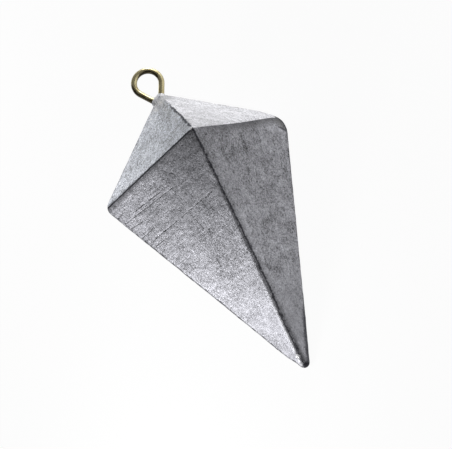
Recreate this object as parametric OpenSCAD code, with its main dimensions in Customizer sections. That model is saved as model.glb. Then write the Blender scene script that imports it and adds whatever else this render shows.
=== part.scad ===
// Pyramid fishing sinker: a four-sided lead casting with a brass wire eyelet cast into its roof.
// The casting is drawn upright in its own frame, with the eye at the top, the mould's parting
// plane on XZ, the gate on +X and the centre of the girth, its widest section, at the origin.
// lay_down() then rests it on one long face, as it lies on a bench: +Z is up, +X runs from the
// point towards the eye, and the girth's centre stands straight above the origin.

/* [Casting] */
// Width across the flats of the girth, the widest section
girth_w = 23.6; // [16:0.1:40]
// Length of the long taper, from the girth to its sharp point
taper_h = 40.4; // [30:0.1:80]
// Height of the roof, from the girth to its sharp apex
roof_h = 14.1; // [10:0.1:24]
// How far the gate's corner stands above the girth's other corners, towards the eye
gate_rise = 1; // [0:0.1:2]
// Radius along the casting's edges
edge_r = 0.3; // [0.15:0.05:0.6]
// Radius of the blunt point
tip_r = 1; // [0.5:0.05:2]
// Radius of the apex, between the wires
apex_r = 0.5; // [0.3:0.05:1]
// Radius in the parting plane of the corner where the lead was poured in and the gate cut off
gate_corner_r = 4; // [1:0.1:6]
// Radius in the parting plane of the corner opposite the gate
far_corner_r = 1.7; // [0.7:0.1:4]

/* [Eyelet] */
// Diameter of the brass wire
wire_d = 1; // [0.7:0.05:1.5]
// Inside diameter of the eye that stands out of the casting
eye_d = 3.5; // [2.6:0.1:5]
// Inside diameter of the loop that is buried in the lead
anchor_d = 3.5; // [2.4:0.1:4.5]
// Angle between a leg and the eyelet's axis, where the legs meet at the waist
leg_angle = 30.5; // [25:0.5:36]
// Gap between a cut end of the wire and the strand that it closes on
end_gap = 0.15; // [0.1:0.05:0.4]
// How far the wire swells out where a bend begins
bend_swell = 0.01; // [0.01:0.01:0.03]
// Depth of the waist below the roof's sharp apex
waist_depth = 2.05; // [1.8:0.05:3]
// How far the waist sits off the casting's axis, away from the gate
waist_offset = 0.6; // [0:0.05:1]
// How far the eyelet leans in the parting plane, away from the gate, in degrees
eye_lean = 3; // [0:0.5:6]

/* [Neck] */
// Thickness of the lead that is drawn up round the wires
neck_wall = 0.3; // [0.15:0.01:0.5]
// Height of the neck above the waist on the gate's side
neck_gate_h = 1.15; // [0.8:0.05:1.5]
// Height of the neck above the waist on the far side
neck_far_h = 0.8; // [0.5:0.05:1.5]

/* [Hidden] */
lead_colour = [0.55, 0.55, 0.58];
brass_colour = [0.72, 0.61, 0.33];
wire_fn = 48;
round_fn = 32;
corner_fn = 96;

// The girth's corners lie half a diagonal from the axis.
half_diagonal = girth_w / sqrt(2);
// The planes of the four short and the four long faces, two of each by symmetry.
roof_gate = face_plane(1, gate_rise, roof_h);
roof_far = face_plane(-1, 0, roof_h);
taper_gate = face_plane(1, gate_rise, -taper_h);
taper_far = face_plane(-1, 0, -taper_h);
// The turn that heads a long face along +X, the angle between that face and the casting's axis,
// and the height of the girth's centre over it.
face_turn = -atan2(taper_gate[1], taper_gate[0]);
face_angle = asin(-taper_gate[2] / norm(taper_gate));
rest_h = 1 / norm(taper_gate);

wire_r = wire_d / 2;
// Radii of the two loops along the middle of the wire.
eye_r = eye_d / 2 + wire_r;
anchor_r = anchor_d / 2 + wire_r;
neck_r = wire_r + neck_wall;
// How far from the waist a cut end stops, so that its edge clears the strand beside it.
end_stop = (wire_r * (1 + cos(2 * leg_angle)) + end_gap) / sin(2 * leg_angle);

// A face's plane as [a, b, c] in a x + b y + c z = 1. It runs through a corner on the parting
// plane, at the height corner_h, a corner square to it at height 0 and the point at tip_h.
function face_plane(side, corner_h, tip_h) =
    [side * (1 - corner_h / tip_h) / half_diagonal, 1 / half_diagonal, 1 / tip_h];

// Where a rounding piece sits, as [reach, level], so that it touches two planes. The reach runs
// along X for across = 0 and along Y for across = 1, and the reaches of the piece itself are how
// far it stands out from its centre towards each plane.
function seat(plane_a, plane_b, reach_a, reach_b, across = 0) =
    let (
        share_a = 1 - norm(plane_a) * reach_a,
        share_b = 1 - norm(plane_b) * reach_b,
        turn = plane_a[across] * plane_b[2] - plane_a[2] * plane_b[across]
    )
    [share_a * plane_b[2] - share_b * plane_a[2],
        plane_a[across] * share_b - plane_b[across] * share_a] / turn;

// How far a disc with a rounded rim, flat in the parting plane, stands out towards a plane.
function disc_reach(corner_r, plane) =
    edge_r + (corner_r - edge_r) * norm([plane[0], plane[2]]) / norm(plane);

// A corner that lies on the parting plane: a thin disc with a rounded rim.
module parting_corner(corner_r, roof_plane, taper_plane) {
    place = seat(roof_plane, taper_plane,
        disc_reach(corner_r, roof_plane), disc_reach(corner_r, taper_plane));
    translate([place[0], 0, place[1]])
        rotate([90, 0, 0])
            rotate_extrude($fn = corner_fn)
                translate([corner_r - edge_r, 0])
                    circle(r = edge_r, $fn = round_fn);
}

// A corner that lies in the middle of a mould half: a small ball.
module keen_corner() {
    place = seat(roof_gate, taper_gate, edge_r, edge_r, across = 1);
    translate([0, place[0], place[1]])
        sphere(r = edge_r, $fn = round_fn);
}

// An end of the casting, the apex or the blunt point: a ball in the parting plane.
module end_ball(ball_r, gate_plane, far_plane) {
    place = seat(gate_plane, far_plane, ball_r, ball_r);
    translate([place[0], 0, place[1]])
        sphere(r = ball_r, $fn = round_fn);
}

// The roof and the taper with all their edges rounded, and no wire in them yet.
module casting_form() {
    hull() {
        end_ball(apex_r, roof_gate, roof_far);
        end_ball(tip_r, taper_gate, taper_far);
        parting_corner(gate_corner_r, roof_gate, taper_gate);
        parting_corner(far_corner_r, roof_far, taper_far);
        keen_corner();
        mirror([0, 1, 0])
            keen_corner();
    }
}

// Puts the eyelet's waist where it is cast in.
module in_roof() {
    translate([-waist_offset, 0, roof_h - waist_depth])
        rotate([0, -eye_lean, 0])
            children();
}

// One loop of the eyelet above the waist, with both legs running in towards the waist. The leg
// on +X goes through it, and the leg on -X is cut off just before it.
module loop_with_legs(loop_r) {
    centre_h = loop_r / sin(leg_angle);
    leg_l = centre_h * cos(leg_angle);
    translate([0, 0, centre_h])
        rotate([90, 0, 0])
            rotate([0, 0, -leg_angle])
                rotate_extrude(angle = 180 + 2 * leg_angle, $fn = corner_fn)
                    translate([loop_r, 0])
                        circle(r = wire_r, $fn = wire_fn);
    for (side = [-1, 1])
        rotate([0, side * leg_angle, 0])
            translate([0, 0, leg_l])
                sphere(r = wire_r + bend_swell, $fn = wire_fn);
    rotate([0, leg_angle, 0])
        cylinder(r = wire_r, h = leg_l, $fn = wire_fn);
    rotate([0, -leg_angle, 0])
        translate([0, 0, end_stop])
            cylinder(r = wire_r, h = leg_l - end_stop, $fn = wire_fn);
}

// The whole eyelet: a wire S that is closed up into a figure of eight.
module eyelet_form() {
    in_roof() {
        loop_with_legs(eye_r);
        rotate([0, 180, 0])
            loop_with_legs(anchor_r);
    }
}

// The swell of lead round both legs where they leave the casting.
module neck() {
    in_roof()
        hull() {
            translate([neck_gate_h * tan(leg_angle), 0, neck_gate_h])
                sphere(r = neck_r, $fn = round_fn);
            translate([-neck_far_h * tan(leg_angle), 0, neck_far_h])
                sphere(r = neck_r, $fn = round_fn);
            sphere(r = neck_r, $fn = round_fn);
        }
}

// Rests the upright casting on the long face between its gate corner and its back corner.
module lay_down() {
    translate([0, 0, rest_h])
        rotate([0, 90 - face_angle, 0])
            rotate([0, 0, face_turn])
                children();
}

module lead_casting() {
    color(lead_colour)
        lay_down()
            difference() {
                union() {
                    casting_form();
                    neck();
                }
                eyelet_form();
            }
}

module brass_eyelet() {
    color(brass_colour)
        lay_down()
            eyelet_form();
}

lead_casting();
brass_eyelet();
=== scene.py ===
# %% [markdown]
# # A pyramid sinker
#
# This lesson dresses a small lead fishing weight with a brass wire eye. The solids come from the
# packed construction model, which also fixes where everything is. Here each piece gets the form
# and the finish that it has in the hand: dull cast lead with the marks of its mould, and drawn
# brass wire that has been bent into an eye. Everything is in metres, in the construction model's
# frame.

# %% Load the fixed frame
import math

import bpy
import numpy as np
from mathutils import Matrix, Vector


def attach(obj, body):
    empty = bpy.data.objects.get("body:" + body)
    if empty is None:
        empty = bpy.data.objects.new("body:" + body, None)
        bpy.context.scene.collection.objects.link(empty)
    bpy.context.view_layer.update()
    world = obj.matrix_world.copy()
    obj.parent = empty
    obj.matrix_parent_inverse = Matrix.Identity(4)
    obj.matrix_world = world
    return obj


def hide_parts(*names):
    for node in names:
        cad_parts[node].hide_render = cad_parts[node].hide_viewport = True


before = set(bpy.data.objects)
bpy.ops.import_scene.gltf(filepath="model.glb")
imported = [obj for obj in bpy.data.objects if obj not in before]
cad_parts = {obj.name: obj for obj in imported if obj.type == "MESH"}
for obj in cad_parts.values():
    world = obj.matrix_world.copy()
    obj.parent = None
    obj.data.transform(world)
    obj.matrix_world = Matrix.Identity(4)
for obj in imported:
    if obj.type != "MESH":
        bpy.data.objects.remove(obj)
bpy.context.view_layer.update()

# %% [markdown]
# ## The casting's own frame
#
# A sinker like this is poured upright in a mould of two halves, and then lies on one of its long
# faces. It is far easier to draw upright: the axis is Z, the eye is at the top, the mould's
# parting plane is XZ and the widest section, the girth, is at zero. So each piece is modelled
# there, and one matrix lays it down at the end. These few sizes say where all its planes are.

# %% Sizes of the casting
MM = 0.001
GIRTH_W = 23.6 * MM
TAPER_H = 40.4 * MM
ROOF_H = 14.1 * MM
GATE_RISE = 1.0 * MM
EDGE_R = 0.3 * MM
TIP_R = 1.0 * MM
APEX_R = 0.5 * MM
GATE_CORNER_R = 4.0 * MM
FAR_CORNER_R = 1.7 * MM

HALF_DIAGONAL = GIRTH_W / math.sqrt(2)


def face_plane(side, corner_h, tip_h):
    """A face as (a, b, c) in a x + b |y| + c z = 1, through two girth corners and one end."""
    return Vector((side * (1 - corner_h / tip_h) / HALF_DIAGONAL, 1 / HALF_DIAGONAL, 1 / tip_h))


ROOF_GATE = face_plane(1, GATE_RISE, ROOF_H)
ROOF_FAR = face_plane(-1, 0, ROOF_H)
TAPER_GATE = face_plane(1, GATE_RISE, -TAPER_H)
TAPER_FAR = face_plane(-1, 0, -TAPER_H)
REST_H = 1 / TAPER_GATE.length

lay_down = (
    Matrix.Translation((0, 0, REST_H))
    @ Matrix.Rotation(math.radians(90) - math.asin(-TAPER_GATE.z * REST_H), 4, "Y")
    @ Matrix.Rotation(-math.atan2(TAPER_GATE.y, TAPER_GATE.x), 4, "Z")
)
print("girth's centre stands at %.2f mm over the resting face" % (REST_H / MM))

# %% [markdown]
# ## The camera
#
# The picture looks down on the sinker from its blunt end, with the camera rolled most of a
# quarter turn, so that the point hangs down in the frame. A long lens from about a foot away
# gives the slight perspective of a product shot.

# %% Camera
VIEW_AZIMUTH = math.radians(-39.83)
VIEW_ELEVATION = math.radians(39.37)
VIEW_ROLL = math.radians(-78.94)
VIEW_DISTANCE = 332.7 * MM
VIEW_LENS_MM = 164.7
VIEW_NEAR = 1 * MM
AIM = Vector((-9.08, 2.35, 6.30)) * MM

back = Vector(
    (
        math.sin(VIEW_AZIMUTH) * math.cos(VIEW_ELEVATION),
        -math.cos(VIEW_AZIMUTH) * math.cos(VIEW_ELEVATION),
        math.sin(VIEW_ELEVATION),
    )
)
level = Vector((math.cos(VIEW_AZIMUTH), math.sin(VIEW_AZIMUTH), 0))
right = level * math.cos(VIEW_ROLL) + back.cross(level) * math.sin(VIEW_ROLL)
above = back.cross(right)

camera_data = bpy.data.cameras.new("view")
camera_data.lens = VIEW_LENS_MM
camera_data.clip_start = VIEW_NEAR
camera = bpy.data.objects.new("view", camera_data)
bpy.context.scene.collection.objects.link(camera)
camera.matrix_world = Matrix.Translation(AIM + back * VIEW_DISTANCE) @ (
    Matrix((right, above, back)).transposed().to_4x4()
)
bpy.context.scene.camera = camera
print("camera at", [round(c / MM, 1) for c in camera.location], "mm")

# %% [markdown]
# ## Small helpers for working by hand in code
#
# An operator acts on everything that is selected, so each new piece starts with a clean
# selection. A finished piece is laid down and its place is put into its mesh, so that its
# object stays at the origin, as the construction model's own objects do.


# %% Helpers
def deselect():
    if bpy.context.mode != "OBJECT":
        bpy.ops.object.mode_set(mode="OBJECT")
    bpy.ops.object.select_all(action="DESELECT")


def pick(*objs):
    deselect()
    for o in objs:
        o.select_set(True)
    bpy.context.view_layer.objects.active = objs[0]
    return objs[0]


def join(name, objs):
    joined = pick(*objs)
    if len(objs) > 1:
        bpy.ops.object.join()
    joined.name = joined.data.name = name
    bpy.ops.object.transform_apply(location=True, rotation=True, scale=True)
    return joined


def shrink_wrap_hull(obj):
    """Stretches a skin round all the little rounding pieces, as a designer's hull does."""
    pick(obj)
    bpy.ops.object.mode_set(mode="EDIT")
    bpy.ops.mesh.select_all(action="SELECT")
    bpy.ops.mesh.convex_hull(delete_unused=True, use_existing_faces=False, join_triangles=False)
    bpy.ops.object.mode_set(mode="OBJECT")
    return obj


def finish_modifiers(obj):
    pick(obj)
    for m in list(obj.modifiers):
        bpy.ops.object.modifier_apply(modifier=m.name)


def lay(obj):
    pick(obj)
    obj.matrix_world = lay_down @ obj.matrix_world
    bpy.ops.object.transform_apply(location=True, rotation=True, scale=True)


def measured(obj):
    mesh = obj.data
    mesh.calc_loop_triangles()
    places = np.zeros(len(mesh.vertices) * 3)
    mesh.vertices.foreach_get("co", places)
    places = places.reshape(-1, 3) / MM
    low = np.round(places.min(0), 2)
    high = np.round(places.max(0), 2)
    print(obj.name, len(mesh.loop_triangles), "triangles,", low, high, "mm")


# %% [markdown]
# ## The lead casting
#
# The form is a low four-sided roof on a long four-sided taper. Four edges lie on the mould's
# parting plane, and its two girth corners there are round: the lead was poured in at one of them.
# A cone with four sides, bevelled, would give the planes but not those two round corners. So
# little balls and rings are set where they touch the planes, and a hull is drawn round them.


# %% Rounding pieces and the casting's hull
BALL_SEGMENTS = 48
RING_SEGMENTS = 96
RING_RIM_SEGMENTS = 24


def seat(plane_a, plane_b, reach_a, reach_b, across=0):
    """Where a rounding piece that touches two planes sits: along X (or Y for across=1), and up."""
    share_a = 1 - plane_a.length * reach_a
    share_b = 1 - plane_b.length * reach_b
    turn = plane_a[across] * plane_b.z - plane_a.z * plane_b[across]
    along = (share_a * plane_b.z - share_b * plane_a.z) / turn
    return along, (plane_a[across] * share_b - plane_b[across] * share_a) / turn


def ball(radius, place):
    deselect()
    bpy.ops.mesh.primitive_uv_sphere_add(
        segments=BALL_SEGMENTS, ring_count=BALL_SEGMENTS // 2, radius=radius, location=place
    )
    return bpy.context.object


def parting_ring(corner_r, roof_plane, taper_plane):
    """A round girth corner: a ring that lies flat in the parting plane."""
    bend = corner_r - EDGE_R
    reaches = [EDGE_R + bend * math.hypot(p.x, p.z) / p.length for p in (roof_plane, taper_plane)]
    reach, height = seat(roof_plane, taper_plane, *reaches)
    deselect()
    bpy.ops.mesh.primitive_torus_add(
        major_radius=bend,
        minor_radius=EDGE_R,
        major_segments=RING_SEGMENTS,
        minor_segments=RING_RIM_SEGMENTS,
        location=(reach, 0, height),
        rotation=(math.radians(90), 0, 0),
    )
    return bpy.context.object


keen_reach, keen_height = seat(ROOF_GATE, TAPER_GATE, EDGE_R, EDGE_R, across=1)
apex_x, apex_z = seat(ROOF_GATE, ROOF_FAR, APEX_R, APEX_R)
tip_x, tip_z = seat(TAPER_GATE, TAPER_FAR, TIP_R, TIP_R)
gate_ring = parting_ring(GATE_CORNER_R, ROOF_GATE, TAPER_GATE)
gate_centre = gate_ring.location.copy()
rounding = [
    ball(APEX_R, (apex_x, 0, apex_z)),
    ball(TIP_R, (tip_x, 0, tip_z)),
    ball(EDGE_R, (0, -keen_reach, keen_height)),
    ball(EDGE_R, (0, keen_reach, keen_height)),
    gate_ring,
    parting_ring(FAR_CORNER_R, ROOF_FAR, TAPER_FAR),
]
lead = shrink_wrap_hull(join("lead_body", rounding))
measured(lead)

# %% [markdown]
# ## The eyelet's place
#
# The wire is a figure of eight in the parting plane. Its waist is buried just under the apex,
# a little off the axis, and it leans away from the gate.

# %% Eyelet sizes
WIRE_R = 0.5 * MM
EYE_D = 3.5 * MM
ANCHOR_D = 3.5 * MM
LEG_ANGLE = math.radians(30.5)
END_GAP = 0.15 * MM
WAIST_DEPTH = 2.05 * MM
WAIST_OFFSET = 0.6 * MM
EYE_LEAN = math.radians(3)

waist = Matrix.Translation((-WAIST_OFFSET, 0, ROOF_H - WAIST_DEPTH))
in_roof = waist @ Matrix.Rotation(-EYE_LEAN, 4, "Y")
print("waist at", [round(c / MM, 2) for c in in_roof.translation], "mm on the upright casting")

# %% [markdown]
# ## The neck
#
# Molten lead climbs the wire and sets as a small swell round both legs. It is drawn as a hull of
# three balls and then melted into the casting by a voxel remesh, which also gives the even mesh
# that the next step needs. A remesh shaves thin edges, so the new skin is pulled back onto a copy
# of the old one by a shrinkwrap.

# %% Neck, melted into the casting
NECK_R = WIRE_R + 0.3 * MM
NECK_GATE_H = 1.15 * MM
NECK_FAR_H = 0.8 * MM
VOXEL = 0.24 * MM

neck_middles = [
    Vector((0, 0, 0)),
    Vector((NECK_GATE_H * math.tan(LEG_ANGLE), 0, NECK_GATE_H)),
    Vector((-NECK_FAR_H * math.tan(LEG_ANGLE), 0, NECK_FAR_H)),
]
neck = shrink_wrap_hull(join("neck", [ball(NECK_R, in_roof @ middle) for middle in neck_middles]))
lead = join("lead_body", [lead, neck])

pick(lead)
bpy.ops.object.duplicate()
true_form = bpy.context.object
melt = lead.modifiers.new("melt", "REMESH")
melt.mode = "VOXEL"
melt.voxel_size = VOXEL
fit = lead.modifiers.new("fit", "SHRINKWRAP")
fit.target = true_form
finish_modifiers(lead)
pick(true_form)
bpy.ops.object.delete()
measured(lead)

# %% [markdown]
# ## The skin of a casting
#
# No cast face is truly flat and no cast edge truly straight: the lead shrinks as it sets, and the
# mould was cut by hand. Sculpting could show that, but it can't be repeated. Two layers of clouds
# press the skin in here, by less than a tenth of a millimetre.

# %% Waves and dents
WAVE_SIZE = 3.4 * MM
WAVE_DEPTH = 0.10 * MM
DENT_SIZE = 0.75 * MM
DENT_DEPTH = 0.05 * MM
PRESSED_IN_SHARE = 0.75


def press_clouds(obj, name, size, depth):
    clouds = bpy.data.textures.new(name, "CLOUDS")
    clouds.noise_scale = size
    skin = obj.modifiers.new(name, "DISPLACE")
    skin.texture = clouds
    skin.mid_level = PRESSED_IN_SHARE
    skin.strength = depth


press_clouds(lead, "waves", WAVE_SIZE, WAVE_DEPTH)
press_clouds(lead, "dents", DENT_SIZE, DENT_DEPTH)
finish_modifiers(lead)
measured(lead)

# %% [markdown]
# ## A full point and a flattened gate
#
# The mould was cut a little full towards the point, and the end itself is worn down. At the gate
# the lead was nipped off, which left that corner flatter than a true arc. Both are small pushes of
# a few vertices that the skin round them follows, so they are made with proportional editing.

# %% Full point and worn end
POINT_SHARE = 1.03
POINT_REACH = 15 * MM
END_SHARE = 0.89
END_REACH = 2.2 * MM
END_MIDDLE_X = 0.8 * MM


def grab(obj, wanted):
    """Opens a piece for editing, with only its wanted vertices selected."""
    pick(obj)
    bpy.ops.object.mode_set(mode="EDIT")
    bpy.ops.mesh.select_all(action="DESELECT")
    bpy.ops.object.mode_set(mode="OBJECT")
    for v in obj.data.vertices:
        v.select = wanted(v.co)
    bpy.ops.object.mode_set(mode="EDIT")


grab(lead, lambda place: place.z < tip_z)
for width_share, reach in ((POINT_SHARE, POINT_REACH), (END_SHARE, END_REACH)):
    bpy.ops.transform.resize(
        value=(width_share, width_share, 1),
        center_override=(END_MIDDLE_X, 0, tip_z),
        use_proportional_edit=True,
        proportional_edit_falloff="SMOOTH",
        proportional_size=reach,
    )
bpy.ops.object.mode_set(mode="OBJECT")
measured(lead)

# %% Flattened gate corner
GATE_CUT_ANGLE = math.radians(42)
GATE_CUT_DEPTH = 0.20 * MM
GATE_CUT_GRIP = 0.4 * MM
GATE_CUT_REACH = 2.4 * MM

cut_way = Vector((math.cos(GATE_CUT_ANGLE), 0, math.sin(GATE_CUT_ANGLE)))
gate_rim = gate_centre + cut_way * GATE_CORNER_R
grab(lead, lambda place: (place - gate_rim).length < GATE_CUT_GRIP)
bpy.ops.transform.translate(
    value=-cut_way * GATE_CUT_DEPTH,
    use_proportional_edit=True,
    proportional_edit_falloff="SMOOTH",
    proportional_size=GATE_CUT_REACH,
)
bpy.ops.object.mode_set(mode="OBJECT")
lay(lead)
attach(lead, "root")
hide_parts("lead_casting")
pick(lead)
bpy.ops.object.shade_smooth()
measured(lead)

# %% [markdown]
# ## The brass eyelet
#
# On the real sinker one piece of wire is bent into a figure of eight before the lead is poured.
# One loop stands out as the eye, and the other is buried and holds it. A curve with a round bevel
# could draw the wire. Here a small disc is drawn out along the straight legs and spun round the
# two loops, as the wire was bent, which gives true arcs that run smoothly into their legs. Both
# cut ends stop just short of the strand that crosses them.


# %% Where the legs and loops lie
def leg_point(angle, run):
    """A point on a leg, by the leg's angle to the eyelet's axis and the way from the waist."""
    return Vector((math.sin(angle) * run, 0, math.cos(angle) * run))


def wire_turn(loop_r, sense):
    """The centre of the loop above (1) or below (-1) the waist, and the length of its legs."""
    centre_h = loop_r / math.sin(LEG_ANGLE)
    return Vector((0, 0, sense * centre_h)), centre_h * math.cos(LEG_ANGLE)


END_STOP = (WIRE_R * (1 + math.cos(2 * LEG_ANGLE)) + END_GAP) / math.sin(2 * LEG_ANGLE)
LOOP_TURN = math.radians(180) + 2 * LEG_ANGLE
eye_centre, eye_leg = wire_turn(EYE_D / 2 + WIRE_R, 1)
anchor_centre, anchor_leg = wire_turn(ANCHOR_D / 2 + WIRE_R, -1)
print("legs of %.2f and %.2f mm" % (eye_leg / MM, anchor_leg / MM))

# %% Draw and bend the wire
WIRE_SEGMENTS = 32
LOOP_STEPS = 72
END_LEG_STEPS = 6
CROSSING_LEG_STEPS = 16
MERGE_GAP = 0.001 * MM
SMOOTH_BELOW = math.radians(40)


def draw_straight(way, steps):
    for _ in range(steps):
        bpy.ops.mesh.extrude_region_move(TRANSFORM_OT_translate={"value": way / steps})


deselect()
bpy.ops.mesh.primitive_circle_add(
    vertices=WIRE_SEGMENTS,
    radius=WIRE_R,
    fill_type="NGON",
    location=leg_point(-LEG_ANGLE, END_STOP),
    rotation=(0, -LEG_ANGLE, 0),
)
wire = bpy.context.object
wire.name = wire.data.name = "brass_wire"
bpy.ops.object.transform_apply(location=True, rotation=True, scale=True)
bpy.ops.object.mode_set(mode="EDIT")
bpy.ops.mesh.select_all(action="SELECT")
draw_straight(leg_point(-LEG_ANGLE, eye_leg - END_STOP), END_LEG_STEPS)
bpy.ops.mesh.spin(steps=LOOP_STEPS, angle=-LOOP_TURN, center=eye_centre, axis=(0, 1, 0))
draw_straight(-leg_point(LEG_ANGLE, eye_leg + anchor_leg), CROSSING_LEG_STEPS)
bpy.ops.mesh.spin(steps=LOOP_STEPS, angle=LOOP_TURN, center=anchor_centre, axis=(0, 1, 0))
draw_straight(leg_point(-LEG_ANGLE, anchor_leg - END_STOP), END_LEG_STEPS)
bpy.ops.mesh.select_all(action="SELECT")
bpy.ops.mesh.remove_doubles(threshold=MERGE_GAP)
bpy.ops.mesh.normals_make_consistent(inside=False)
bpy.ops.object.mode_set(mode="OBJECT")
wire.matrix_world = in_roof
bpy.ops.object.transform_apply(location=True, rotation=True, scale=True)
lay(wire)
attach(wire, "root")
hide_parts("brass_eyelet")
pick(wire)
bpy.ops.object.shade_smooth_by_angle(angle=SMOOTH_BELOW)
measured(wire)

# %% [markdown]
# ## Tools for a finish
#
# A finish is a small network of nodes. Wiring each node by hand fills pages, so these short calls
# add a node to the finish in hand, connect it and give back its output. Most of a finish is made
# of fades. The numbers of a fade share one name, in the order of its call: where it starts, where
# it ends and, unless they are 0 and 1, what it gives at the start and at the end.


# %% Node helpers
def new_finish(name):
    material = bpy.data.materials.new(name)
    material.use_nodes = True
    return material


def add_node(kind, **settings):
    node = finish.node_tree.nodes.new("ShaderNode" + kind)
    for setting, value in settings.items():
        setattr(node, setting, value)
    return node


def feed(socket, value):
    """Connects a socket to another node's output, or sets it where the value is a plain one."""
    if isinstance(value, bpy.types.NodeSocket):
        finish.node_tree.links.new(value, socket)
    elif value is not None:
        socket.default_value = value


def work_out(operation, a, b=None):
    node = add_node("Math", operation=operation)
    feed(node.inputs[0], a)
    feed(node.inputs[1], b)
    return node.outputs[0]


def one_by_one(operation, first, others):
    for other in others:
        first = work_out(operation, first, other)
    return first


def plus(first, *others):
    return one_by_one("ADD", first, others)


def product(first, *others):
    return one_by_one("MULTIPLY", first, others)


def most(first, *others):
    return one_by_one("MAXIMUM", first, others)


def minus(a, b):
    return work_out("SUBTRACT", a, b)


def size_of(a):
    return work_out("ABSOLUTE", a)


def total(*parts):
    """A sum of (share, noise) pairs, each noise counted from its middle."""
    weighed = [product(minus(value, 0.5), share) for share, value in parts]
    return plus(*weighed)


def fade(value, start, end, at_start=0.0, at_end=1.0):
    node = add_node("MapRange", interpolation_type="SMOOTHSTEP")
    feed(node.inputs["Value"], value)
    limits = {"From Min": start, "From Max": end, "To Min": at_start, "To Max": at_end}
    for socket, number in limits.items():
        feed(node.inputs[socket], number)
    return node.outputs["Result"]


def noise(place, scale, detail=2.0, roughness=0.5, distortion=0.0):
    node = add_node("TexNoise")
    feed(node.inputs["Vector"], place)
    feed(node.inputs["Scale"], scale)
    feed(node.inputs["Detail"], detail)
    feed(node.inputs["Roughness"], roughness)
    feed(node.inputs["Distortion"], distortion)
    return node.outputs["Fac"]


def mix(share, a, b):
    node = add_node("Mix", data_type="RGBA")
    colours = [socket for socket in node.inputs if socket.type == "RGBA"]
    feed(node.inputs["Factor"], share)
    feed(colours[0], a)
    feed(colours[1], b)
    return [socket for socket in node.outputs if socket.type == "RGBA"][0]


def vector_math(operation, a, b=None, output="Vector", scale=None):
    node = add_node("VectorMath", operation=operation)
    feed(node.inputs[0], a)
    feed(node.inputs[1], b)
    if scale is not None:
        feed(node.inputs["Scale"], scale)
    return node.outputs[output]


def bump(height, depth):
    node = add_node("Bump")
    feed(node.inputs["Distance"], depth)
    feed(node.inputs["Height"], height)
    return node.outputs[0]


def shader_socket(name):
    return finish.node_tree.nodes["Principled BSDF"].inputs[name]


def tell(what):
    print(finish.name, "has", what + ",", len(finish.node_tree.nodes), "nodes so far")


# %% [markdown]
# ## Places on the upright casting
#
# A pattern can follow the casting's own edges and levels only in the frame in which the casting
# was drawn. So a point's Object coordinates are turned back to the upright casting, in
# millimetres. The other calls here measure from there.


# %% Place helpers
def drawn_place():
    """Where a point was when its piece stood upright, in millimetres."""
    upright = lay_down.inverted()
    mapping = add_node("Mapping")
    feed(mapping.inputs["Vector"], add_node("TexCoord").outputs["Object"])
    feed(mapping.inputs["Scale"], (1 / MM,) * 3)
    feed(mapping.inputs["Rotation"], upright.to_euler("XYZ"))
    feed(mapping.inputs["Location"], upright.translation / MM)
    return mapping.outputs[0]


def as_place(x_part, y_part, z_part):
    node = add_node("CombineXYZ")
    for socket, value in zip(node.inputs, (x_part, y_part, z_part)):
        feed(socket, value)
    return node.outputs[0]


def parts_of(place):
    node = add_node("SeparateXYZ")
    feed(node.inputs[0], place)
    return node.outputs


def facing(direction):
    """How far the surface faces a direction of the upright casting, from -1 to 1."""
    laid = lay_down.to_3x3() @ Vector(direction).normalized()
    normal = add_node("TexCoord").outputs["Normal"]
    return vector_math("DOT_PRODUCT", normal, tuple(laid), output="Value")


def gap_to(place, point):
    return vector_math("DISTANCE", place, point, output="Value")


def gap_to_line(place, start, end):
    """How far a place is from the straight line between two others."""
    along = Vector(end) - Vector(start)
    from_start = vector_math("SUBTRACT", place, tuple(start))
    per_length = tuple(along / along.length_squared)
    run = vector_math("DOT_PRODUCT", from_start, per_length, output="Value")
    on_line = work_out("MINIMUM", most(run, 0.0), 1.0)
    return gap_to(from_start, vector_math("SCALE", tuple(along), scale=on_line))


# %% [markdown]
# ## Cast lead
#
# Fresh lead is bright, and it dulls to a bluish grey. The roof is given lighter greys than the long
# faces, which is painted light for the light that falls on each face. The long faces show how the
# mould was cut: two are marked across, parallel to the girth, and two lengthwise. Everywhere there
# is a fine grain, and dark lines run along the edges. A painted picture could be wrapped round the
# casting, but its seams would fall on those edges. So the finish is worked out from a point's
# place, and the first step is to say which face the point lies on. Towards the gate, the girth's
# edge sweeps up.

# %% Where a point lies on the casting
EDGE_SWEEP = (7.0, 15.0, 0.0, 0.5)
ROOF_EDGE = (-0.06, 0.03)
GATE_SIDE_EDGE = (-0.04, 0.04)
FRONT_EDGE = (0.04, -0.04)
CUT_ACROSS_EDGE = (-0.5, 0.5)
FACE_SPACING = 60

finish = new_finish("cast_lead")
drawn = drawn_place()
x, y, z = parts_of(drawn)
y_size = size_of(y)
across = minus(y_size, size_of(x))
girth_level = plus(product(most(x, 0.0), GATE_RISE / HALF_DIAGONAL), fade(x, *EDGE_SWEEP))
over_girth = minus(z, girth_level)
on_roof = fade(over_girth, *ROOF_EDGE)
on_long_face = minus(1.0, on_roof)
on_gate_side = fade(x, *GATE_SIDE_EDGE)
on_far_side = minus(1.0, on_gate_side)
on_gate_roof = product(on_roof, on_gate_side)
on_gate_long = product(on_gate_side, on_long_face)
on_far_long = product(on_far_side, on_long_face)
cut_across = fade(product(x, y), *CUT_ACROSS_EDGE)


def by_face(far_roof, gate_roof, far_long, gate_long):
    """A number that differs from face to face."""
    roof = fade(on_gate_side, 0.0, 1.0, far_roof, gate_roof)
    long_face = fade(on_gate_side, 0.0, 1.0, far_long, gate_long)
    return plus(product(roof, on_roof), product(long_face, on_long_face))


tell("its faces")

# %% [markdown]
# ## Grain, clouds and veins
#
# The skin of cast lead is grey in many small steps: specks hardly wider than a hair, a coarser
# grain, mottles of about a millimetre, patches as wide as a pencil, and thin veins where the metal
# folded as it set. One noise can't hold them all, so each size has its own.


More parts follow.
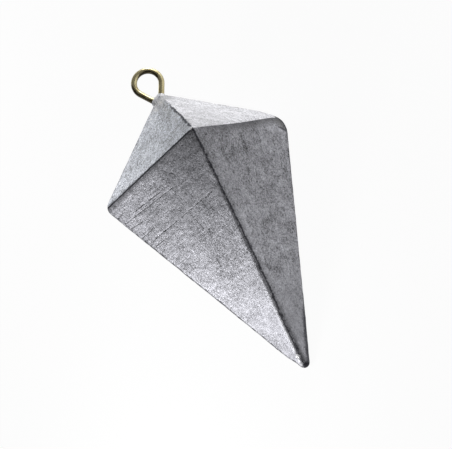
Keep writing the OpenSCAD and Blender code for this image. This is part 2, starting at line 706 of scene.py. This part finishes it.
# %% Grain, clouds and veins
def here_and_there(scale, starts, ends, least=0.0):
    """Places where a broad noise passes from one value to another."""
    return fade(noise(drawn, scale=scale, detail=1), starts, ends, least, 1.0)


def veins(scale, width, distortion):
    """Thin crooked lines, where a noise passes through its middle value."""
    winding = noise(drawn, scale=scale, roughness=0.6, distortion=distortion)
    return fade(size_of(minus(winding, 0.5)), width, 0.0)


dust = noise(drawn, scale=6.5, detail=1)
grain = noise(drawn, scale=3.0, roughness=0.6)
mottle = noise(drawn, scale=1.2, roughness=0.55, distortion=0.6)
cloud = noise(drawn, scale=0.42)
patch = noise(drawn, scale=0.12, detail=1)
veins_show = here_and_there(scale=0.45, starts=0.42, ends=0.62)
pale_veins_show = here_and_there(scale=0.6, starts=0.55, ends=0.40)
dark_veins = product(veins(scale=1.15, width=0.030, distortion=0.9), veins_show)
pale_veins = product(veins(scale=1.6, width=0.035, distortion=0.5), pale_veins_show)
tell("grain, clouds and veins")


# %% Marks of the mould's cutter and of a brush
def stretched(sideways, fineness, lengthwise_fineness):
    """A noise drawn out along or across a face, different on the two sides of the casting."""
    place = as_place(product(sideways, fineness), on_gate_side, product(z, lengthwise_fineness))
    return noise(place, scale=1.0, roughness=0.6)


cuts = stretched(across, fineness=0.16, lengthwise_fineness=3.0)
streaks = stretched(across, fineness=0.8, lengthwise_fineness=0.18)
brushed = stretched(y_size, fineness=1.8, lengthwise_fineness=0.15)
tell("cutting and brush marks")

# %% [markdown]
# ## Dark lines and shade along the edges
#
# Dark lines run along the edges, and some of the shade there is painted: below the gate's edge,
# beside the front ridge and round the front corner. Each dark line is worked out from a point's gap
# to its edge, and a rag of noise is added to the gap, so that no line is ruled straight. The front
# ridge's line wanders off its edge near the point, as on the real casting.

# %% Ragged edges and spots
HALF_D = HALF_DIAGONAL / MM
FRONT_CORNER = (0, -HALF_D, 0)

wobble = noise(drawn, scale=1.3)
rag = total((0.42, wobble), (0.30, grain))
crooked = plus(x, total((0.55, noise(drawn, scale=1.7, roughness=0.65))))
broken = here_and_there(scale=0.9, starts=0.38, ends=0.55, least=0.25)


def ragged(gap, rag_share):
    return plus(gap, product(rag, rag_share))


def spot(centre, radius, core_share=0.4):
    """A round spot with a ragged rim, full within a share of its radius."""
    return fade(ragged(gap_to(drawn, centre), 1.0 + radius), radius, radius * core_share)


tell("a rag")

# %% Girth and the shade under the gate's edge
GIRTH_RAG_SHARE = 0.6
GIRTH_LINE = (0.20, 0.10)
GIRTH_LINE_STOPS = (0.2, -0.4)
SHADE_RISES = (-2.1, -0.3)
SHADE_STARTS = (0.2, 1.5)
SHADE_GROWS = (3.0, 9.0, 0.34, 0.66)
GATE_LINE = (-0.50, -0.15)
GATE_LINE_STARTS = (0.3, 1.5)
GATE_LINE_SHARE = 0.33

girth_gap = size_of(ragged(over_girth, GIRTH_RAG_SHARE))
girth_line = product(fade(girth_gap, *GIRTH_LINE), fade(x, *GIRTH_LINE_STOPS))
under_gate_edge = product(fade(over_girth, *SHADE_RISES), fade(x, *SHADE_STARTS), on_long_face)
under_gate_edge = product(under_gate_edge, fade(x, *SHADE_GROWS))
# Painted shade: a thin dark line just under the gate's edge, with the shade below it.
gate_edge_shade = product(fade(plus(over_girth, rag), *GATE_LINE), fade(x, *GATE_LINE_STARTS))
gate_edge_shade = product(gate_edge_shade, on_long_face, GATE_LINE_SHARE)
tell("the girth's lines")

# %% Front ridge
RIDGE_STRAYS = (0.0, -24.0, 0.03, 0.15)
RIDGE_RETURNS = (-24.0, -32.0, 0.0, 0.42)
RIDGE_RAG_SHARE = 1.1
RIDGE_WIDTH = (-27.0, -36.0, 0.18, 0.36)
RIDGE_LINE = (1.0, 0.55)
RIDGE_PALES = (0.3, 0.5, 1.0, 0.8)
RIDGE_SHADE = (1.1, 0.2)
RIDGE_SHADE_GROWS = (-24.0, -34.0, 0.25, 0.5)
FRONT_SHADE_R = 5.0
FRONT_SHADE_CORE = 0.1
FRONT_SHADE_SHARE = 0.45

ridge_x = minus(fade(z, *RIDGE_STRAYS), fade(z, *RIDGE_RETURNS))
ridge_gap = ragged(size_of(minus(crooked, ridge_x)), RIDGE_RAG_SHARE)
ridge_widths = work_out("DIVIDE", ridge_gap, fade(z, *RIDGE_WIDTH))
ridge_line = product(fade(ridge_widths, *RIDGE_LINE), on_long_face, fade(mottle, *RIDGE_PALES))
ridge_shade = product(fade(ridge_gap, *RIDGE_SHADE), on_gate_long, fade(z, *RIDGE_SHADE_GROWS))
front_shade = spot(FRONT_CORNER, FRONT_SHADE_R, FRONT_SHADE_CORE)
front_shade = product(front_shade, on_far_long, FRONT_SHADE_SHARE)
tell("the front ridge")

# %% Roof ridge, parting line and point
ROOF_RIDGE_X = -0.05
ROOF_RAG_SHARE = 1.6
ROOF_LINE = (0.26, 0.10)
ROOF_LINE_PALES = (10.5, 8.0, 0.25, 0.95)
BY_POINT = (-26.0, -31.0)
PARTING_W = 0.42
PARTING_EXTRA_W = 0.75
PARTING_LINE = (1.0, 0.5)
PARTING_PALES = (-0.5, 0.5, 0.85, 0.55)
TIP_DARK = (-37.0, -37.4)

roof_gap = ragged(size_of(minus(crooked, ROOF_RIDGE_X)), ROOF_RAG_SHARE)
roof_line = product(fade(roof_gap, *ROOF_LINE), on_roof, fade(z, *ROOF_LINE_PALES))
# Partly dirt along the parting line, partly painted shade: the line darkens the outlines along the
# parting plane, and it widens near the point on the gate's side, where the casting lies on the
# table.
by_point = product(fade(z, *BY_POINT), on_gate_side)
parting_w = plus(product(by_point, PARTING_EXTRA_W), PARTING_W)
parting_widths = work_out("DIVIDE", plus(y_size, rag), parting_w)
parting_dirt_and_shade = product(fade(parting_widths, *PARTING_LINE), most(broken, by_point))
parting_dirt_and_shade = product(parting_dirt_and_shade, fade(over_girth, *PARTING_PALES))
# Painted shade: the very point, where it meets the table, is darkened.
painted_tip_shade = fade(plus(z, rag), *TIP_DARK)
tell("the other edges")

# %% [markdown]
# ## The cut gate
#
# Where the lead was poured in, the gate was nipped off. That left a darker patch on the corner,
# with a dirty rim and two pits below it. A slanting line across the corner bounds it, and not an
# edge of the casting, so the patch is measured from that line.

# %% Cut gate
CUT_FROM = 14.2
CUT_SOFT = 0.2
CUT_ON_ROOF_FROM = 14.7
CUT_NEAR = (13.2, 15.4)
CUT_FALL = 0.85
CUT_LEVEL = 11.6
CUT_PATCH = (0.0, 0.15)
CUT_RIM = (0.32, 0.10)
CUT_OUTLINE = (0.50, 0.25)
CUT_OUTLINE_FROM = (-0.2, 0.2)
CUT_OUTLINE_SHARE = 0.85
FRONT_PIT = ((14.4, -1.65, -0.6), 0.34)
EDGE_PIT = ((15.5, -0.1, -1.55), 0.55)

ragged_x = plus(x, rag)
over_cut = plus(minus(plus(z, product(x, CUT_FALL)), CUT_LEVEL), rag)
past_cut = fade(ragged_x, CUT_FROM, CUT_FROM + CUT_SOFT)
cut_on_roof = fade(ragged_x, CUT_ON_ROOF_FROM, CUT_ON_ROOF_FROM + CUT_SOFT)
cut_on_long_face = product(fade(x, *CUT_NEAR), on_long_face)
gate_cut = most(product(cut_on_roof, on_roof), cut_on_long_face)
gate_cut = product(gate_cut, fade(over_cut, *CUT_PATCH))
cut_rim = product(past_cut, fade(size_of(over_cut), *CUT_RIM))
cut_pits = most(spot(*FRONT_PIT), spot(*EDGE_PIT))
cut_outline = product(fade(plus(y_size, rag), *CUT_OUTLINE), cut_on_roof)
cut_outline = product(cut_outline, fade(over_cut, *CUT_OUTLINE_FROM), CUT_OUTLINE_SHARE)
tell("the cut gate")

# %% [markdown]
# ## Worn spots and the neck
#
# The front corner and the point are rubbed bright. Beside the front ridge near the point a strip is
# lighter too, partly worn and partly painted light on its rounded edge. The neck of lead round the
# wires kept small folds as it set, and it is paler than the roof, partly its own paler oxide and
# partly painted light on its folds. Bright paint strokes would look pasted on, so each of these is
# a spot or a band with the same ragged rim as the dark lines.

# %% Worn spots and a lit strip
CORNER_WEAR = ((-0.28, -HALF_D + 0.6, 0.35), 0.50)
POINT_WEAR = ((-0.55, -1.30, -36.0), 0.55)
LOW_POINT_WEAR = ((-0.35, -1.00, -37.2), 0.35)
LIT_CHIPS_START = (-0.95, -0.50)
LIT_CHIPS_END = (-0.25, -0.40)
LIT_CHIPS_GROW = (-22.0, -34.0)
LIT_CHIPS_IN_MOTTLE = (0.48, 0.60, 0.55, 1.0)

point_wear = most(spot(*POINT_WEAR), spot(*LOW_POINT_WEAR))
worn = most(spot(*CORNER_WEAR), product(point_wear, on_far_side))
# Painted light, with some wear: the rounded strip beside the front ridge near the point is made
# lighter.
lit_chips = product(fade(x, *LIT_CHIPS_START), fade(x, *LIT_CHIPS_END), on_long_face, fade(z, *LIT_CHIPS_GROW))
lit_chips = product(lit_chips, fade(mottle, *LIT_CHIPS_IN_MOTTLE))
tell("worn spots")

# %% Neck
NECK_SPOT = ((-0.6, -0.9, ROOF_H / MM - 1.9), 3.2, 0.5)
FOLD_ACROSS_FINENESS = 1.9
FOLD_ALONG_FINENESS = 0.3
FOLDS = (0.42, 0.56, 0.25, 1.0)
NECK_TOP_WAY = (0.5, 0, 1)
NECK_TOP = (0.5, 0.9)
NECK_VEINS_SHARE = 0.75

near_neck = spot(*NECK_SPOT)
fold_place = as_place(product(x, FOLD_ACROSS_FINENESS), 0.0, product(z, FOLD_ALONG_FINENESS))
neck_folds = fade(noise(fold_place, scale=1.0, detail=1), *FOLDS)
# Painted shade: the top of the neck, which faces up, gets a darker grey.
painted_shade_neck_top = fade(facing(NECK_TOP_WAY), *NECK_TOP)
neck_pale = product(near_neck, most(neck_folds, painted_shade_neck_top))
neck_veins = product(near_neck, veins(scale=1.5, width=0.022, distortion=1.2), NECK_VEINS_SHARE)
tell("the neck")

# %% All dirt and all shade together
CUT_DIRT_SHARE = 0.8
LIT_CHIPS_CLEAN_SHARE = 0.6

# Dark lines, dirt and painted shade together: this holds the painted shade at the point, along the
# parting line and under the gate's edge.
dirt_and_shade = most(girth_line, gate_edge_shade, ridge_line, roof_line, parting_dirt_and_shade, painted_tip_shade)
dirt_and_shade = most(dirt_and_shade, product(most(cut_rim, cut_pits), CUT_DIRT_SHARE), cut_outline, neck_veins)
dirt_and_shade = minus(dirt_and_shade, most(worn, product(lit_chips, LIT_CHIPS_CLEAN_SHARE)))
shaded = most(front_shade, ridge_shade, under_gate_edge)
tell("its dirt")

# %% [markdown]
# ## Scratches
#
# A few long scratches run across the long faces, and shorter ones lie about. They could be cut as
# grooves, but at this size a groove shows only as a line of another grey. So each one is a thin
# line between two points, drawn on a plan on which the four long faces lie flat and far apart. A
# run of 0 is on the middle line of a face, and a larger run is nearer the front ridge.

# %% Scratches
FAR_SIDE = 0
GATE_SIDE = 1
SCRATCH_W = 0.12
SCRATCH_CORE_SHARE = 0.3
SCRATCH_RAG_SHARE = 0.3
SHORT_SCRATCH_SHARE = 0.8

on_front = fade(y, *FRONT_EDGE)
face_shift = plus(product(on_gate_side, FACE_SPACING), product(on_front, -2 * FACE_SPACING))
on_plan = as_place(product(across, 1 / math.sqrt(2)), face_shift, z)


def plan_point(side, height, run):
    """A point of the front's long faces on the plan."""
    return (run / math.sqrt(2), (side - 2) * FACE_SPACING, height)


def scratch(side, height, run_from, run_to, climb=0.0, width=SCRATCH_W):
    """A scratch on one front face: its height at its start, two runs and what it climbs."""
    ends = plan_point(side, height, run_from), plan_point(side, height + climb, run_to)
    gap = ragged(gap_to_line(on_plan, *ends), SCRATCH_RAG_SHARE)
    return fade(gap, width, width * SCRATCH_CORE_SHARE)


long_scratches = most(
    scratch(FAR_SIDE, -3.3, -9.9, 1.8, -0.5),
    scratch(FAR_SIDE, -3.7, -14.3, 2.2, -0.8),
    scratch(FAR_SIDE, -8.5, -12.9, 10.2, -0.4),
    scratch(FAR_SIDE, -9.4, -12.1, -2.5, -0.4),
)
pale_flanks = most(
    scratch(FAR_SIDE, -3.05, -9.0, 1.0, -0.5),
    scratch(FAR_SIDE, -3.45, -12.0, 2.0, -0.7),
    scratch(FAR_SIDE, -8.25, -12.0, 9.0, -0.4),
)
short_scratches = most(
    scratch(FAR_SIDE, -4.9, -13.9, -10.1, -0.3),
    scratch(FAR_SIDE, -7.1, -13.8, -9.2),
    scratch(FAR_SIDE, -12.8, 3.2, 2.4, -1.2, 0.15),
    scratch(FAR_SIDE, -9.2, 1.8, 2.1, -2.9, 0.10),
    scratch(FAR_SIDE, -16.6, 0.1, -0.5, -1.6, 0.15),
    scratch(FAR_SIDE, -1.4, 2.9, 4.8, -1.7, 0.10),
    scratch(GATE_SIDE, -9.7, 10.0, 6.5, -0.4),
    scratch(GATE_SIDE, -10.3, -8.1, -10.2, -0.1, 0.15),
    scratch(GATE_SIDE, -10.1, 0.9, -0.8),
    scratch(GATE_SIDE, -12.5, -1.0, -6.0),
    scratch(GATE_SIDE, -3.8, -6.8, -8.8, -0.9),
    scratch(GATE_SIDE, -7.6, -0.2, -2.3, -0.7),
    scratch(GATE_SIDE, -0.3, -7.6, -8.1, -1.5, 0.10),
)
long_scratches = product(long_scratches, broken)
pale_flanks = product(pale_flanks, broken)
scratches = most(long_scratches, product(short_scratches, SHORT_SCRATCH_SHARE))
tell("scratches")

# %% [markdown]
# ## Lighter and darker regions
#
# These lighter and darker regions are painted light and shade. Each region below is a fade or a
# soft spot on one side of the casting, with the share by which it is lighter or darker. The faces
# then differ in level, which is painted light too, and in contrast, because the mould was smoother
# for some of them.

# %% Lighter and darker regions
BELT_LEVEL = -11.0
BELT = (9.0, 2.0)
BELT_TOWARDS_RIDGE = (-9.0, 2.0, 0.3, 1.0)
FAR_HALF_HEIGHT = (-5.0, -1.0)
FAR_HALF_ACROSS = (8.0, -6.0)
LOW_HEIGHT = (-22.0, -27.0)
LOW_ACROSS = (-5.0, 1.0)
FAR_EDGE = (-6.0, -11.0)
ROOF_TOP = (7.0, 10.5)
ROOF_FOOT = (-9.0, -14.0)
FAR_CORNER_SPOT = ((-15.0, -1.0, -2.0), 6.5, 0.1)
SHADED_SPOT = ((-3.5, -5.5, -18.0), 5.0, 0.2)
LIT_SPOT = ((-8.5, -6.5, -3.2), 4.5, 0.2)
GATE_SPOT = ((10.5, -5.0, -3.0), 7.5, 0.2)
DARKER_BY_FRONT = (2.0, 17.0, 0.84, 1.10)

# Painted light and shade: bands, halves and spots of the faces are made lighter or darker as the
# light falls on them.
belt = product(fade(size_of(minus(z, BELT_LEVEL)), *BELT), fade(across, *BELT_TOWARDS_RIDGE))
far_half = product(fade(z, *FAR_HALF_HEIGHT), fade(across, *FAR_HALF_ACROSS))
low_end = product(fade(z, *LOW_HEIGHT), fade(across, *LOW_ACROSS))
painted_light_and_shade = plus(
    1.0,
    product(belt, on_long_face, -0.14),
    product(far_half, on_far_long, 0.30),
    product(spot(*FAR_CORNER_SPOT), on_long_face, 0.14),
    product(low_end, on_far_long, 0.20),
    product(fade(across, *FAR_EDGE), on_far_long, 0.10),
    product(spot(*SHADED_SPOT), on_far_side, -0.16),
    product(spot(*LIT_SPOT), on_far_long, 0.12),
    product(spot(*GATE_SPOT), on_gate_long, -0.17),
    product(fade(z, *ROOF_TOP), on_far_side, 0.10),
    product(fade(across, *ROOF_FOOT), on_far_side, on_roof, -0.15),
)
mirrored_to_front = as_place(x, product(y_size, -1.0), z)
front_gap = gap_to(mirrored_to_front, FRONT_CORNER)
# Painted light and shade: each face has a level of its own, and the faces grow darker towards the
# front corners.
faces = by_face(far_roof=1.03, gate_roof=0.955, far_long=0.93, gate_long=0.86)
face_level = product(faces, fade(front_gap, *DARKER_BY_FRONT), painted_light_and_shade)
tell("lighter and darker regions")

# %% [markdown]
# ## The lead's colour
#
# All marks are added up as one tone around zero. The tone and the regions of painted light and
# shade then make a plain grey lighter or darker, which keeps the grey's slight blue. Only the dark
# lines and their painted shade, the worn metal and the lit strip, the cut and the neck have greys
# of their own, and they are laid over the rest like thin coats.

# %% All marks as one tone
CONTRAST_FALLS = (-18.0, -32.0, 1.0, 0.50)

contrast = by_face(far_roof=1.25, gate_roof=0.85, far_long=1.32, gate_long=1.05)
contrast = product(contrast, fade(z, *CONTRAST_FALLS))
calm = by_face(far_roof=0.8, gate_roof=0.64, far_long=0.38, gate_long=0.84)
cut_along = minus(1.0, cut_across)
tone = plus(
    product(total((2.3, grain), (1.4, mottle), (1.0, cloud), (0.5, patch)), calm),
    total((2.15, dust)),
    product(total((0.85, cuts)), cut_across, on_long_face),
    product(total((0.5, streaks)), cut_along, on_long_face),
    product(total((0.7, brushed)), on_gate_roof),
    product(total((0.4, cloud), (0.3, patch)), on_gate_long),
    product(dark_veins, calm, -0.35),
    product(pale_veins, calm, 0.25),
    product(scratches, -0.40),
    product(pale_flanks, 0.30),
)
grey_level = product(plus(1.0, product(tone, contrast)), face_level, minus(1.0, shaded))
tell("its tone")

# %% Coats of colour
# Painted light: the roof's greys are lighter than the long faces' grey, and the roof on the gate's
# side is lighter still, for the light that falls on each face.
ROOF_FAR_GREY = (0.55, 0.572, 0.625, 1)
ROOF_GATE_GREY = (0.63, 0.628, 0.655, 1)
LONG_GREY = (0.365, 0.365, 0.395, 1)
CUT_GREY = (0.15, 0.15, 0.155, 1)
WORN_AND_LIT_GREY = (0.85, 0.85, 0.87, 1)
# The neck's near-white grey is partly its own paler oxide and partly painted light; the darker grey
# on the neck's top is painted shade.
NECK_PALE_AND_LIT_GREY = (0.93, 0.93, 0.95, 1)
SHADED_NECK_TOP_GREY = (0.50, 0.50, 0.52, 1)
DIRT_AND_SHADE_GREY = (0.03, 0.03, 0.04, 1)
WORN_COAT_SHARE = 0.9
LIT_CHIPS_COAT_SHARE = 0.5
DIRT_AND_SHADE_SHARE = 0.92

plain_grey = mix(on_roof, LONG_GREY, mix(on_gate_side, ROOF_FAR_GREY, ROOF_GATE_GREY))
plain_grey = mix(gate_cut, plain_grey, CUT_GREY)
colour = vector_math("SCALE", plain_grey, scale=grey_level)
rubbed_and_lit = most(product(worn, WORN_COAT_SHARE), product(lit_chips, LIT_CHIPS_COAT_SHARE))
colour = mix(rubbed_and_lit, colour, WORN_AND_LIT_GREY)
colour = mix(neck_pale, colour, mix(painted_shade_neck_top, NECK_PALE_AND_LIT_GREY, SHADED_NECK_TOP_GREY))
colour = mix(product(dirt_and_shade, DIRT_AND_SHADE_SHARE), colour, DIRT_AND_SHADE_GREY)
feed(shader_socket("Base Color"), colour)
tell("its colour")

# %% [markdown]
# ## Gloss and relief of the lead
#
# Dull lead is half a mirror: its skin of oxide hides part of the metal's gloss. So it is only
# partly metallic, and the pale neck even less. Grain, cutting marks and scratches are also a
# shallow relief, which catches the light with the same pattern that the colour has.

# %% Gloss and relief
METALLIC = (0.0, 1.0, 0.55, 0.1)
ROUGH_BY_MOTTLE = (0.3, 0.7, 0.38, 0.48)
ROUGHER_BY_POINT = (-20.0, -34.0, 0.0, 0.08)
ROUGHER_GATE_ROOF = 0.18
ROUGHER_DIRT_AND_SHADE = 0.3
RELIEF_DEPTH = 0.022 * MM

rough = plus(
    fade(mottle, *ROUGH_BY_MOTTLE),
    fade(z, *ROUGHER_BY_POINT),
    product(on_gate_roof, ROUGHER_GATE_ROOF),
    product(dirt_and_shade, ROUGHER_DIRT_AND_SHADE),
)
relief = plus(
    product(total((0.5, dust), (1.0, grain), (0.8, mottle), (0.5, cuts)), contrast),
    product(scratches, -1.6),
    product(dark_veins, -0.5),
)
feed(shader_socket("Metallic"), fade(neck_pale, *METALLIC))
feed(shader_socket("Roughness"), rough)
feed(shader_socket("Normal"), bump(relief, RELIEF_DEPTH))
lead.data.materials.append(finish)
tell("its gloss and relief")

# %% [markdown]
# ## The brass's finish
#
# New brass wire is bright yellow, and it tarnishes to an olive brown. A single brass colour would
# look like new wire. Here one noise says where the tarnish lies. The rest is painted light and
# shade that follows the way in which the surface faces: a painted highlight on the upper side, a
# painted darker brown on the rim inside and outside the eye, and a nearly black painted dark
# reflection below.

# %% Brass finish
UNDER_WAY = (-0.44, 0, -0.90)
UNDER = (0.13, 0.45)
UNDER_FAR_WAY = (-0.75, 0, -0.66)
UNDER_FAR = (0.10, 0.52)
UPPER_WAY = (0.44, 0, 0.9)
UPPER = (0.30, 0.85)
ACROSS_EYE_WAY = (0, 1, 0)
RIMS = (0.80, 0.30)
TARNISH = (0.40, 0.68)
BRASS = (0.70, 0.62, 0.36, 1)
TARNISH_AND_RIM_SHADE = (0.40, 0.33, 0.16, 1)
PAINTED_HIGHLIGHT_BRASS = (0.86, 0.78, 0.50, 1)
PAINTED_DARK_REFLECTION = (0.032, 0.025, 0.01, 1)
PAINTED_RIM_SHADE_SHARE = 0.7
PAINTED_HIGHLIGHT_SHARE = 0.8
PAINTED_DARK_REFLECTION_SHARE = 0.95
BRASS_METALLIC = 0.7
BRASS_ROUGHNESS = (0.3, 0.7, 0.22, 0.38)
BRASS_RELIEF_DEPTH = 0.012 * MM

finish = new_finish("drawn_brass")
drawn = drawn_place()
tarnish = noise(drawn, scale=0.9, detail=3, roughness=0.6)
speckle = noise(drawn, scale=3.5)
uneven = total((0.7, tarnish), (0.2, speckle))
# Painted dark reflection: where the wire faces down and away, it is coated nearly black.
painted_dark_underside = most(
    fade(plus(facing(UNDER_WAY), uneven), *UNDER),
    fade(plus(facing(UNDER_FAR_WAY), uneven), *UNDER_FAR),
)
# Painted highlight: the upper side of the wire is coated a pale, bright yellow.
painted_highlight_side = fade(plus(facing(UPPER_WAY), uneven), *UPPER)
# Painted shade: where the surface faces along the eye's plane, on the rim inside and outside the
# eye, it is coated a darker brown.
painted_dark_rims = fade(minus(size_of(facing(ACROSS_EYE_WAY)), uneven), *RIMS)
colour = mix(fade(tarnish, *TARNISH), BRASS, TARNISH_AND_RIM_SHADE)
colour = mix(product(painted_dark_rims, PAINTED_RIM_SHADE_SHARE), colour, TARNISH_AND_RIM_SHADE)
colour = mix(product(painted_highlight_side, PAINTED_HIGHLIGHT_SHARE), colour, PAINTED_HIGHLIGHT_BRASS)
colour = mix(product(painted_dark_underside, PAINTED_DARK_REFLECTION_SHARE), colour, PAINTED_DARK_REFLECTION)
feed(shader_socket("Base Color"), colour)
feed(shader_socket("Metallic"), BRASS_METALLIC)
feed(shader_socket("Roughness"), fade(tarnish, *BRASS_ROUGHNESS))
feed(shader_socket("Normal"), bump(speckle, BRASS_RELIEF_DEPTH))
wire.data.materials.append(finish)
tell("its colour, gloss and relief")

# %% [markdown]
# ## A pale table with a cove
#
# A product shot stands on a sheet that runs up behind the object in a curve, so that no edge of the
# table shows. Here the sheet is a disc whose rim is drawn up in small steps.

# %% Table and cove
TABLE_R = 1.6
TABLE_SEGMENTS = 96
COVE_R = 0.5
COVE_STEPS = 10

deselect()
bpy.ops.mesh.primitive_circle_add(vertices=TABLE_SEGMENTS, radius=TABLE_R, fill_type="NGON")
sheet = bpy.context.object
sheet.name = sheet.data.name = "sheet"
bpy.ops.object.mode_set(mode="EDIT")
bpy.ops.mesh.select_all(action="SELECT")
bpy.ops.mesh.region_to_loop()
rim_r, rim_z = TABLE_R, 0
for step in range(1, COVE_STEPS + 1):
    climb = math.radians(90) * step / COVE_STEPS
    next_r = TABLE_R + COVE_R * math.sin(climb)
    next_z = COVE_R * (1 - math.cos(climb))
    bpy.ops.mesh.extrude_region_move(TRANSFORM_OT_translate={"value": (0, 0, next_z - rim_z)})
    bpy.ops.transform.resize(value=(next_r / rim_r, next_r / rim_r, 1), center_override=(0, 0, 0))
    rim_r, rim_z = next_r, next_z
bpy.ops.mesh.select_all(action="SELECT")
bpy.ops.mesh.normals_make_consistent(inside=False)
bpy.ops.object.mode_set(mode="OBJECT")
bpy.ops.object.shade_smooth()
measured(sheet)

# %% [markdown]
# ## The sheet's finish
#
# The photograph's ground is plain white. More light would also bleach the casting, so the sheet
# glows instead, but only for the rays that look at it: those of the camera, and those that the
# wire and the lead mirror. For all others it is pale paper. A small share of it is paper for the
# camera too, and that share shows the soft shadow under the sinker.

# %% White sheet
SHEET_GREY = (0.9, 0.9, 0.9, 1)
SHEET_GLOW = 1.01
SHEET_GLOW_SHARE = 0.94

finish = new_finish("white_sheet")
finish.node_tree.nodes.clear()
paper = add_node("BsdfDiffuse")
feed(paper.inputs["Color"], SHEET_GREY)
glow = add_node("Emission")
feed(glow.inputs["Strength"], SHEET_GLOW)
rays = add_node("LightPath").outputs
seen = most(rays["Is Camera Ray"], rays["Is Glossy Ray"], rays["Is Transmission Ray"])
blend = add_node("MixShader")
feed(blend.inputs["Fac"], product(seen, SHEET_GLOW_SHARE))
feed(blend.inputs[1], paper.outputs[0])
feed(blend.inputs[2], glow.outputs[0])
feed(add_node("OutputMaterial").inputs["Surface"], blend.outputs[0])
sheet.data.materials.append(finish)
tell("paper and glow")

# %% [markdown]
# ## Soft light
#
# One large window stands low on the eye's side. It lights the roof and grazes the long face on the
# gate's side, and the far long face is turned away from it. Lead is half a mirror, so that face
# shows what stands before it: a small card beside the point and one past the face's far edge. A
# third card, past the roof's foot, does the same for the far half of the roof. The world fills in
# faintly.


# %% Lights
def softbox(name, direction, distance, size, power):
    light = bpy.data.lights.new(name, "AREA")
    light.shape = "RECTANGLE"
    light.size, light.size_y = size
    light.energy = power
    lamp = bpy.data.objects.new(name, light)
    bpy.context.scene.collection.objects.link(lamp)
    away = Vector(direction).normalized()
    aimed = away.to_track_quat("Z", "Y").to_matrix().to_4x4()
    lamp.matrix_world = Matrix.Translation(away * distance) @ aimed
    lamp.visible_camera = False
    print(name, "at", [round(c / MM) for c in lamp.matrix_world.translation], "mm")


WINDOW_SIZE = (0.3, 0.2)
CARD_SIZE = (0.03, 0.03)
ROOF_CARD_SIZE = (0.055, 0.055)
WORLD_LEVEL = 0.12

softbox("window", (0.8, -0.55, 0.15), distance=0.45, size=WINDOW_SIZE, power=1.72)
softbox("card_by_point", (-0.577, 0.425, 0.379), distance=0.081, size=CARD_SIZE, power=0.020)
softbox("card_by_side", (-0.373, 0.486, 0.501), distance=0.079, size=CARD_SIZE, power=0.010)
softbox("card_by_roof", (0.698, 0.926, 0.386), distance=0.122, size=ROOF_CARD_SIZE, power=0.022)

world = bpy.data.worlds.new("studio")
bpy.context.scene.world = world
world.use_nodes = True
background = world.node_tree.nodes["Background"]
background.inputs["Color"].default_value = (1, 1, 1, 1)
background.inputs["Strength"].default_value = WORLD_LEVEL

bpy.context.scene.view_settings.view_transform = "Standard"
